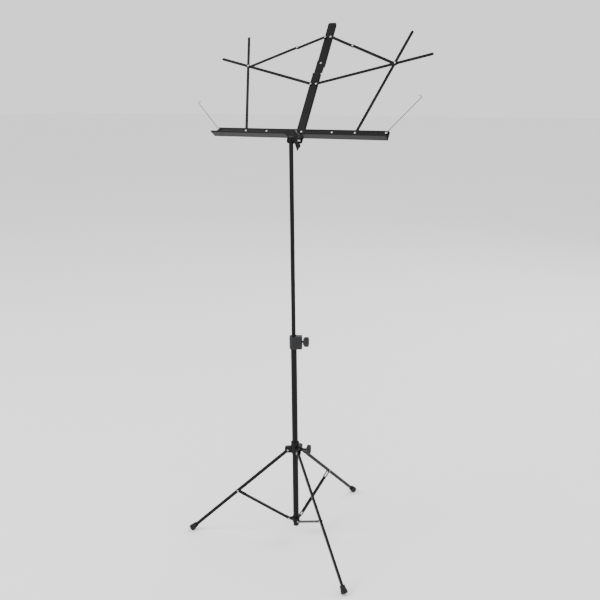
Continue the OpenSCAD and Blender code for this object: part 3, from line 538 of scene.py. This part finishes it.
# ---------------------------------------------------------------- clamp screws
# Machine screws, M5 in the trade's terms, blackened: each is moulded into its knob and presses on
# the tube behind its collar or hub sleeve. The thread shows between sleeve and knob.
def thread(start, end, radius, pitch=0.8, depth=0.3, columns=32):
    """Radius r - d (1 - |2 u - 1|) where u is the fraction of z / pitch + a / 2 pi: one spiral
    groove. Over the first and last millimetre it thins by end_drop, and each end is closed to the
    axis."""
    rings_per_turn, end_drop, taper_mm = 6, 0.45, 1.0
    rows = int((end - start) / pitch * rings_per_turn) + 2
    z = np.linspace(start, end, rows)[:, None]
    angle = -np.linspace(0, 2 * np.pi, columns, endpoint=False)[None, :]
    u = np.mod(z / pitch - angle / (2 * np.pi), 1.0)
    taper = np.clip(np.minimum(z - start, end - z) / taper_mm, 0, 1)
    size = radius - depth * np.abs(2 * u - 1) - end_drop * (1 - taper)
    grid = np.stack([size * np.cos(angle), size * np.sin(angle), np.broadcast_to(z, size.shape)], axis=-1)
    ends = [np.broadcast_to([0.0, 0.0, h], (1, columns, 3)) for h in (start, end)]
    return np.concatenate([ends[0], grid, ends[1]])


clamp_dir = pivot("collar_knob_turn") * [1, 1, 0]
clamp_dir /= np.linalg.norm(clamp_dir)
collar_axis = pivot("collar_knob_turn") * [0, 0, 1]
hub_axis = pivot("hub_knob_turn") * [0, 0, 1]
screw_radius = 2.4
collar_screw_from, collar_screw_to = 4.6, 30.5
hub_screw_from, hub_screw_to = 6.6, 33.0
black_oxide = plated("black_oxide_steel", "#2a2a2d", "#1d1d20", 0.35, 0.16, 0.3)
place_piece("collar_screw_threaded",
            surface(stand_on(thread(collar_screw_from, collar_screw_to, screw_radius) * MM,
                             collar_axis, clamp_dir), close_v=True),
            "collar_clamp", black_oxide, "collar_screw")
place_piece("hub_screw_threaded",
            surface(stand_on(thread(hub_screw_from, hub_screw_to, screw_radius) * MM,
                             hub_axis, clamp_dir), close_v=True),
            "hub_clamp", black_oxide, "hub_screw")


# ---------------------------------------------------------------- clamp knobs
# Nylon hand knobs moulded round the screws, with ten finger flutes and a shallow dish in the end.
def knob(back, length, radius, flutes=10, columns=160):
    """An outline turned about Z, cut by round flutes: at an angle d from a flute's middle the
    radius is at most c cos d - sqrt(q^2 - c^2 sin^2 d), with c = 1.06 r and q = 0.16 r."""
    shares = np.vstack([[[0.24, 0.0], [0.58, 0.0], [0.63, 0.03], [0.66, 0.1], [0.8, 0.13], [0.9, 0.16]],
                        [[0.96, 0.21], [1.0, 0.28], [1.0, 0.45], [1.0, 0.62], [1.0, 0.78]],
                        [[0.985, 0.85], [0.95, 0.91], [0.87, 0.97], [0.76, 1.0], [0.66, 0.995]],
                        [[0.62, 0.94], [0.4, 0.925], [0.0, 0.92]]])
    outline = np.vstack([[[0.0, back + 0.02 * length]], shares * [radius, length] + [0, back]])
    angle = -np.linspace(0, 2 * np.pi, columns, endpoint=False)[None, :]
    away = np.mod(angle * flutes / (2 * np.pi) + 0.5, 1.0) * 2 * np.pi / flutes - np.pi / flutes
    centre, bite = 1.06 * radius, 0.16 * radius
    inside = bite ** 2 - (centre * np.sin(away)) ** 2
    limit = np.where(inside > 0, centre * np.cos(away) - np.sqrt(np.clip(inside, 0, None)), 2 * radius)
    size = np.minimum(outline[:, :1], limit)
    return np.stack([size * np.cos(angle), size * np.sin(angle),
                     np.broadcast_to(outline[:, 1:], size.shape)], axis=-1)


knob_nylon = moulded_nylon("knob_nylon", "#1b1c1e", "#232426")
place_piece("collar_knob_moulded",
            surface(stand_on(knob(back=20.2, length=12.3, radius=10.8) * MM, collar_axis, clamp_dir),
                    close_v=True),
            "collar_clamp", knob_nylon, "collar_knob", sharp=50.0)
place_piece("hub_knob_moulded",
            surface(stand_on(knob(back=25.0, length=10.0, radius=10.0) * MM, hub_axis, clamp_dir),
                    close_v=True),
            "hub_clamp", knob_nylon, "hub_knob", sharp=50.0)


# ---------------------------------------------------------------- upper tube and its plastics
# Steel tube, 9 mm across, powder coated. A nylon bush on its lower end guides it inside the lower
# tube, and a nylon cap closes its top above the tilt bolt.
bush_low, bush_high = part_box("guide_bush")
bush_radius = (bush_high[0] - bush_low[0]) / 2 / MM
bush_bottom, bush_top = bush_low[2] / MM, bush_high[2] / MM
upper_low, upper_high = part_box("upper_tube")
upper_radius = (upper_high[0] - upper_low[0]) / 2 / MM
bush_waist, bush_ring, bush_floor = bush_radius - 0.2, 9.0, bush_bottom + 1.95
bush_outline = [[0.0, bush_bottom], [bush_radius - 0.6, bush_bottom], [bush_radius, bush_bottom + 0.6],
                [bush_radius, bush_bottom + bush_ring], [bush_waist, bush_bottom + bush_ring + 1],
                [bush_waist, bush_top - bush_ring - 1], [bush_radius, bush_top - bush_ring],
                [bush_radius, bush_top - 0.6], [bush_radius - 0.3, bush_top],
                [upper_radius + 0.05, bush_top], [upper_radius + 0.05, bush_floor], [0.0, bush_floor]]
place_piece("guide_bush_moulded", surface(spin(bush_outline) * MM, close_v=True),
            "guide", nylon, "guide_bush")
upper_wall = 0.8
upper_outline = tube_outline(upper_low[2] / MM, upper_high[2] / MM, upper_radius, upper_wall)
place_piece("upper_tube_coated", surface(spin(upper_outline, 56) * MM, close_u=True, close_v=True),
            "upper_mast", black_coat, "upper_tube")
cap_low, cap_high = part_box("tube_plug")
cap_bottom, cap_top, tube_top = cap_low[2] / MM, cap_high[2] / MM, upper_high[2] / MM
cap_radius, cap_shank, cap_rim = upper_radius - push_fit, upper_radius - upper_wall - push_fit, 0.15
dome = np.linspace(0, np.pi / 2, 9)
cap_dome = np.stack([cap_radius * np.cos(dome),
                     tube_top + cap_rim + (cap_top - tube_top - cap_rim) * np.sin(dome)], axis=-1)
cap_outline = np.vstack([[[0.0, cap_bottom], [cap_shank, cap_bottom], [cap_shank, tube_top],
                          [cap_radius, tube_top]], cap_dome])
place_piece("tube_cap_moulded", surface(spin(cap_outline) * MM, close_v=True),
            "upper_mast", nylon, "tube_plug")


# ---------------------------------------------------------------- tilt head
# A painted bracket folded from 1.5 mm steel holds the desk on a plated bolt through the top of the
# upper tube. A cast wing nut on the right clamps it.
soften("tilt_bracket", "desk_spine", black_fitting, 0.2 * MM)
soften("wing_nut", "wing_nut", black_fitting, 0.35 * MM)
bolt_place, bolt_radius = pivot("desk_tilt"), 2.0
bolt_from, bolt_thread_from, bolt_to = -6.75, 6.9, 20.65
bolt_shank = spin(pin_outline([(bolt_from, bolt_thread_from, bolt_radius)], (4.0, 2.4), None), 36)
bolt_thread = thread(bolt_thread_from, bolt_to, bolt_radius, pitch=0.7, depth=0.25)
place_piece("tilt_bolt_plated",
            join([surface(stand_on(points * MM, bolt_place, (1, 0, 0), (0, 1, 0)), close_v=True)
                  for points in (bolt_shank, bolt_thread)]),
            "upper_mast", zinc, "tilt_bolt")


# ---------------------------------------------------------------- spine
# The desk's back is a channel of 1.2 mm steel, 19.5 mm wide with folded edges, in two pieces: the
# lower one steps back in a joggle to a flat tongue, riveted to the upper one.
sheet_out = np.array(joint["right_fold"]["axis"])
sheet_up = np.cross(sheet_out, [1.0, 0.0, 0.0])
sheet_zero = pivot("right_fold") * [0, 1, 1]


def desk(points):
    """Points of (x, v, n) in mm: x to the right, v up the spine from the tray rivets and n forward
    of the lower spine, as a place in metres."""
    return sheet_zero + (points @ np.stack([[1.0, 0.0, 0.0], sheet_up, sheet_out])) * MM


spine_width, spine_wall, spine_bend, spine_depth = 19.5, 1.2, 1.0, 3.6
half_spine = (spine_width - spine_wall) / 2


def spine_section(web_columns, steps=5):
    """Across and forward along the spine's middle line, folded edges first and last, and the same
    section laid flat to the full width, with the web's front face at n = 0."""
    corner_arc = arc((spine_bend - half_spine, -spine_wall / 2 - spine_bend), spine_bend, 180, 90, steps)
    folded = np.vstack([[[-half_spine, -spine_depth]], corner_arc])
    spread = np.linspace(-spine_width / 2, spine_bend - half_spine, steps + 1)
    flat = np.stack([spread, np.full(steps + 1, -spine_wall / 2)], axis=-1)
    web = np.stack([web_columns, np.full(len(web_columns), -spine_wall / 2)], axis=-1)
    return [np.vstack([side, web, (side * [-1, 1])[::-1]]) for side in (folded, flat)]


def spine_grid(rise, opened, cut_in, web_n):
    """A spine piece of (x, v, n) rows up rise: the folded section where opened is 0, the flat one
    where it is 1, narrowed by cut_in at each side and with the web's front face at web_n."""
    opened = opened[:, None, None]
    section = spine_folded * (1 - opened) + spine_flat * opened
    reach = (spine_width / 2 - cut_in)[:, None]
    across = np.clip(section[..., 0], -reach, reach)
    return np.stack([across, np.broadcast_to(rise[:, None], across.shape), section[..., 1] + web_n],
                    axis=-1)


notch_in, notch_out = 5.05, 6.95
web_columns = np.array([-notch_out, -notch_in, -2.5, 0.0, 2.5, notch_in, notch_out])
spine_folded, spine_flat = spine_section(web_columns)
spine_foot, notch_top, corner_cut = -23.1, -16.1, 2.0
joggle_from, joggle_to, tongue_top, tongue_n = 139.6, 146.6, 175.6, -4.9
lower_rise = np.concatenate([[spine_foot, spine_foot + 0.6, spine_foot + 1.4, spine_foot + corner_cut],
                             [notch_top], np.linspace(notch_top + 3, joggle_from - 3, 60),
                             np.linspace(joggle_from - 1, joggle_to + 1, 15),
                             np.linspace(joggle_to + 3, tongue_top - corner_cut, 8),
                             [tongue_top - 1.2, tongue_top - 0.5, tongue_top]])
ease = np.clip((lower_rise - joggle_from) / (joggle_to - joggle_from), 0, 1)
step_back = tongue_n * ease * ease * (3 - 2 * ease)
lower_opened = np.clip(lower_rise - joggle_from + 1.5, 0, 1)
lower_cut = np.maximum(np.maximum(spine_foot - lower_rise, lower_rise - tongue_top) + corner_cut, 0)
mid_rise = ((lower_rise[1:] + lower_rise[:-1]) / 2)[:, None]
mid_x = (spine_folded[1:, 0] + spine_folded[:-1, 0])[None, :] / 2
is_flange = np.isin(np.arange(len(spine_folded) - 1), (0, len(spine_folded) - 2))
notch = (np.abs(mid_x) > notch_in) & (np.abs(mid_x) < notch_out) & (mid_rise < notch_top)
flange_room = (mid_rise > spine_foot + corner_cut) & (mid_rise < joggle_from - 1)
lower_keep = ~notch & (~is_flange[None, :] | flange_room)
lower_grid = spine_grid(lower_rise, lower_opened, lower_cut, step_back[:, None])
place_piece("lower_spine_pressed", surface(desk(lower_grid), keep=lower_keep), "desk_spine",
            black_coat, "lower_spine", sheet=spine_wall * MM, edge=0.15 * MM)

upper_web_n, upper_foot, spine_top, spine_round = -6.1, 159.6, 268.0, 4.0
round_from = spine_top - spine_round
upper_rise = np.concatenate([np.linspace(upper_foot, round_from, 50),
                             round_from + spine_round * np.sin(np.linspace(0.15, np.pi / 2, 10))])
over = np.clip((upper_rise - round_from) / spine_round, 0, 1)
upper_cut = spine_round * (1 - np.sqrt(1 - over ** 2))
upper_opened = np.clip(upper_rise - round_from + 0.5, 0, 1)
upper_grid = spine_grid(upper_rise, upper_opened, upper_cut, upper_web_n)
upper_keep = ~is_flange[None, :] | (((upper_rise[1:] + upper_rise[:-1]) / 2)[:, None] < round_from)
place_piece("upper_spine_pressed", surface(desk(upper_grid), keep=upper_keep), "desk_spine",
            black_coat, "upper_spine", sheet=spine_wall * MM, edge=0.15 * MM)


# ---------------------------------------------------------------- tray
# Two halves of folded 1 mm steel that swing up on their rivets: a back plate with a round inner
# end, a shelf for the music and a low lip that leans forward.
tray_back, tray_wall, tray_bend = 5.05, 1.0, 1.2
tray_crown, tray_drop, tray_shelf, tray_lip = 5.95, 15.5, 19.0, 3.0
tray_end, tray_corner, hinge_x, shelf_from = 196.0, 3.0, 6.45, 17.43
plate_n, floor_v = tray_back + tray_wall / 2, -tray_drop + tray_wall / 2
lean = math.degrees(math.atan2(tray_lip, tray_lip / 2))
lip_bend, lip_straight = 0.9, 2.0
bend_points = arc((plate_n + tray_bend, floor_v + tray_bend), tray_bend, 180, 270, 7)
lip_start = (tray_back + tray_shelf - 0.3, floor_v + lip_bend)
lip_points = arc(lip_start, lip_bend, -90, lean - 90, 5)
lip_tip = lip_points[-1] + lip_straight * np.array([math.cos(math.radians(lean)),
                                                    math.sin(math.radians(lean))])
shelf_n = np.linspace(plate_n + tray_bend, lip_start[0], 8)[1:-1]
shelf_line = np.stack([shelf_n, np.full_like(shelf_n, floor_v)], axis=-1)
forward_part = np.vstack([bend_points, shelf_line, lip_points, [lip_tip]])
round_rows = hinge_x - tray_crown * np.cos(np.linspace(0.0, np.pi / 2, 12))
tray_rows = np.unique(np.concatenate([round_rows, [shelf_from - 0.05, shelf_from],
                                      np.linspace(19, tray_end - 4, 60),
                                      np.linspace(tray_end - tray_corner, tray_end, 4)]))
inner_gap = np.clip(hinge_x - tray_rows, 0, tray_crown)
corner_drop = np.clip(tray_rows - tray_end + tray_corner, 0, None)
crown = np.sqrt(np.clip(tray_crown ** 2 - inner_gap ** 2, 0, None)) - corner_drop
plate_low = np.where(tray_rows < shelf_from - 0.01, -tray_drop, floor_v + tray_bend)
share = np.linspace(0, 1, 8)
plate_v = crown[:, None] * (1 - share) + plate_low[:, None] * share
forward = np.broadcast_to(forward_part[1:], (len(tray_rows), len(forward_part) - 1, 2))
tray_n = np.hstack([np.full_like(plate_v, plate_n), forward[..., 0]])
tray_v = np.hstack([plate_v, forward[..., 1]])
tray_x = np.broadcast_to(tray_rows[:, None], tray_n.shape)
plate_cell = np.arange(tray_n.shape[1] - 1) < len(share) - 1
tray_keep = plate_cell[None, :] | ((tray_rows[1:] + tray_rows[:-1]) / 2 > shelf_from)[:, None]
for side, s in (("right", 1), ("left", -1)):
    tray_grid = desk(np.stack([s * tray_x, tray_v, tray_n], axis=-1))
    place_piece(f"tray_{side}_folded", surface(tray_grid, keep=tray_keep), f"{side}_tray",
                black_coat, f"tray_{side}", sheet=tray_wall * MM, edge=0.12 * MM)


# ---------------------------------------------------------------- folding links
# Flat bars of 6 by 1.6 mm steel with round ends, sheared and tumbled so that their edges are soft.
# On each side an upright stands on the tray, and a long and two short links tie it to the spine.
link_width, link_wall, edge_round = 6.0, 1.6, 0.3
lower_rivet_v, upper_rivet_v, upright_x = 114.6, 231.6, 124.0


def bar(start, end, past, back, steps=13):
    """A bar from a round end about start to a round end about end, both points (x, v), or past it
    by past. Its outline of radius r is drawn again and again through the thickness, smaller by the
    edge rounding at both faces."""
    start, end = np.array(start, float), np.array(end, float)
    along = (end - start) / np.linalg.norm(end - start)
    end = end + along * past
    across = np.array([-along[1], along[0]])
    turn = np.linspace(np.pi / 2, 3 * np.pi / 2, steps)
    half = np.stack([np.cos(turn), np.sin(turn)], axis=-1) @ np.stack([along, across])
    quarter = np.linspace(0, np.pi / 2, 4)
    soft, climb = edge_round * (1 - np.sin(quarter)), edge_round * (1 - np.cos(quarter))
    inset = np.concatenate([soft, soft[::-1]])
    height = np.concatenate([climb, link_wall - climb[::-1]])
    rows = []
    for shrink, n in zip(inset, height):
        radius = link_width / 2 - shrink
        loop = np.vstack([start + radius * half, end - radius * half])
        rows.append(np.column_stack([loop, np.full(len(loop), back + n)]))
    grid = np.stack(rows)[:, ::-1]
    return surface(desk(grid), close_v=True, cap_start=True, cap_end=True)


def meet(one, one_length, other, other_length):
    """The outer point at one_length from one and at other_length from other, in (x, v)."""
    one, other = np.array(one), np.array(other)
    gap = np.linalg.norm(other - one)
    along = (one_length ** 2 - other_length ** 2 + gap ** 2) / (2 * gap)
    off = math.sqrt(one_length ** 2 - along ** 2)
    way = (other - one) / gap
    return one + along * way + off * np.array([-way[1], way[0]])


lower_link, upright_reach, lower_reach = 168.7, 242.0, 246.0
upright_link = lower_rivet_v + lower_link - (upright_x - hinge_x)
cross = meet((hinge_x, lower_rivet_v), lower_link, (upright_x, 0.0), upright_link)
upper_span = np.linalg.norm(cross - [hinge_x, upper_rivet_v])
inner_length = (upper_span - (lower_rivet_v + lower_link - upper_rivet_v)) / 2
elbow = np.array([hinge_x, upper_rivet_v]) + (cross - [hinge_x, upper_rivet_v]) * inner_length / upper_span
lower_n, upright_n, outer_n, inner_n = 0.15, 2.6, -2.3, -4.75
end_round = link_width / 2
for side, s in (("right", 1), ("left", -1)):
    flip = np.array([s, 1.0])
    lower_start, upper_start = flip * (hinge_x, lower_rivet_v), flip * (hinge_x, upper_rivet_v)
    bars = {"lower_link": bar(lower_start, flip * cross, lower_reach - lower_link - end_round, lower_n),
            "upright": bar(flip * (upright_x, 0.0), flip * cross,
                           upright_reach - upright_link - end_round, upright_n),
            "inner_link": bar(upper_start, flip * elbow, 0.0, inner_n),
            "outer_link": bar(flip * elbow, flip * cross, 0.0, outer_n)}
    for part, shape in bars.items():
        place_piece(f"{part}_{side}_bar", shape, f"{side}_{part}", black_coat,
                    f"{part}_{side}")


# ---------------------------------------------------------------- desk rivets
# Plated rivets join the links, the spine and the tray. Rings between the layers keep the bars apart.
desk_pin, desk_head, rear_head, ring = 1.25, (2.3, 0.7), (1.9, 0.7), 2.3


def desk_rivet(x, v, steps, back_head=None, front_head=None):
    """A pin square to the desk at (x, v); steps are (n from, n to, radius) from back to front."""
    outline = pin_outline(steps, back_head, front_head)
    return pin_at(outline, desk(np.array([x, v, 0.0])), sheet_out)


lower_face, upright_face = lower_n + link_wall, upright_n + link_wall
outer_face, inner_face = outer_n + link_wall, inner_n + link_wall
tray_face, upper_web_back = tray_back + tray_wall, upper_web_n - spine_wall
pair = (-hinge_x, hinge_x)
tray_steps = [(-2.7, -2.65, desk_pin), (-2.65, 0.0, desk_pin), (0.0, 4.9, ring), (4.9, 6.2, desk_pin)]
upper_steps = [(upper_web_back, upper_web_n, desk_pin), (upper_web_n, -4.825, ring),
               (-4.825, inner_face, desk_pin)]
place_piece("tray_rivets_plated",
            join([desk_rivet(x, 0, tray_steps, rear_head, desk_head) for x in pair]),
            "desk_spine", zinc, "tray_rivets")
place_piece("lower_link_rivets_plated",
            join([desk_rivet(x, lower_rivet_v, [(-spine_wall, lower_face, desk_pin)], rear_head, desk_head)
                  for x in pair]),
            "desk_spine", zinc, "lower_link_rivets")
place_piece("upper_link_rivets_plated",
            join([desk_rivet(x, upper_rivet_v, upper_steps, rear_head, desk_head) for x in pair]),
            "desk_spine", zinc, "upper_link_rivets")
centre_rivet_v = 168.6
place_piece("centre_rivet_plated",
            desk_rivet(0.0, centre_rivet_v, [(upper_web_back, tongue_n, desk_pin)], rear_head, desk_head),
            "desk_spine", zinc, "centre_rivet")
wire_x, stud_x, wire_radius = 190.0, 74.4, 0.8
wire_layer = {"right": 7.95, "left": 10.21}
upright_stud = [(upright_n, 4.35, desk_pin), (4.35, tray_back, ring), (tray_back, tray_face, desk_pin)]
elbow_steps = [(inner_n, -3.0, desk_pin), (-3.0, outer_n, ring), (outer_n, outer_face, desk_pin)]
for side, s in (("right", 1), ("left", -1)):
    stud_top = wire_layer[side] + wire_radius + 0.3
    place_piece(f"tray_studs_{side}_plated",
                join([desk_rivet(s * upright_x, 0, upright_stud, None, desk_head),
                      desk_rivet(s * stud_x, 0, [(tray_back, tray_face, desk_pin)], None, desk_head),
                      desk_rivet(s * wire_x, 0, [(tray_back, stud_top, desk_pin)], None, desk_head)]),
                f"{side}_tray", zinc, f"tray_studs_{side}")
    place_piece(f"cross_spacer_{side}_plated",
                desk_rivet(s * cross[0], cross[1], [(-0.55, lower_n, ring), (lower_n, lower_face, desk_pin)]),
                f"{side}_lower_link", zinc, f"cross_spacer_{side}")
    place_piece(f"cross_rivet_{side}_plated",
                desk_rivet(s * cross[0], cross[1],
                           [(1.9, upright_n, ring), (upright_n, upright_face, desk_pin)], None, desk_head),
                f"{side}_upright", zinc, f"cross_rivet_{side}")
    place_piece(f"elbow_rivet_{side}_plated",
                desk_rivet(s * elbow[0], elbow[1], elbow_steps, None, desk_head),
                f"{side}_inner_link", zinc, f"elbow_rivet_{side}")


# ---------------------------------------------------------------- page wires
# Drawn steel wire, 1.6 mm, bent to an eye round its stud at one end and to a small hook at the
# other. It turns on the stud and holds the page down.
drawn_wire = plated("bright_drawn_wire", "#5c5e61", "#4b4d50", 0.25, 0.16, 0.3)
eye_radius, wire_reach, hook_radius = 2.1, 93.0, 3.0
wire_turn = {"right": math.radians(56), "left": math.radians(41)}


def wire(path, n, columns=14):
    """A round wire along a flat path of (x, v): at each point a circle across the path. Half-round
    ends: rows of radius r cos t set back by r sin t."""
    step = np.gradient(path, axis=0)
    along = step / np.linalg.norm(step, axis=1)[:, None]
    lift = np.linspace(np.pi / 2, 0.0, 5)[:-1]
    points = np.vstack([path[0] - along[0] * wire_radius * np.sin(lift)[:, None], path,
                        path[-1] + along[-1] * wire_radius * np.sin(lift[::-1])[:, None]])
    along = np.vstack([np.repeat(along[:1], 4, 0), along, np.repeat(along[-1:], 4, 0)])
    radius = np.concatenate([wire_radius * np.cos(lift), np.full(len(path), wire_radius),
                             wire_radius * np.cos(lift[::-1])])[:, None]
    angle = np.linspace(0, 2 * np.pi, columns, endpoint=False)[None, :]
    across = np.stack([-along[:, 1], along[:, 0]], axis=-1)
    flat = points[:, None, :] + (radius * np.cos(angle))[..., None] * across[:, None, :]
    return np.dstack([flat, n + radius * np.sin(angle)])


eye = arc((0.0, 0.0), eye_radius, 62, 320, 26)
leave = np.linspace(0, 1, 12)[1:, None]
first, last, pull = eye[-1], np.array([6.5, 0.0]), 5.0
pull_first = pull * np.array([math.sin(math.radians(40)), math.cos(math.radians(40))])
pull_last = np.array([pull, 0.0])
neck = ((2 * leave ** 3 - 3 * leave ** 2 + 1) * first + (leave ** 3 - 2 * leave ** 2 + leave) * pull_first
        + (3 * leave ** 2 - 2 * leave ** 3) * last + (leave ** 3 - leave ** 2) * pull_last)
arm = np.stack([np.linspace(last[0], wire_reach, 30)[1:], np.zeros(29)], axis=-1)
hook = arc((wire_reach, hook_radius), hook_radius, -90, 50, 14)[1:]
wire_path = np.vstack([eye, neck, arm, hook])
for side, s in (("right", 1), ("left", -1)):
    cos_turn, sin_turn = math.cos(wire_turn[side]), math.sin(wire_turn[side])
    turned = wire_path @ np.array([[cos_turn, sin_turn], [-sin_turn, cos_turn]])
    side_path = turned * [s, 1] + [s * wire_x, 0.0]
    place_piece(f"page_wire_{side}_bent",
                surface(desk(wire(side_path, wire_layer[side])), close_v=True, cap_start=True, cap_end=True),
                f"{side}_page_wire", drawn_wire, f"page_wire_{side}")
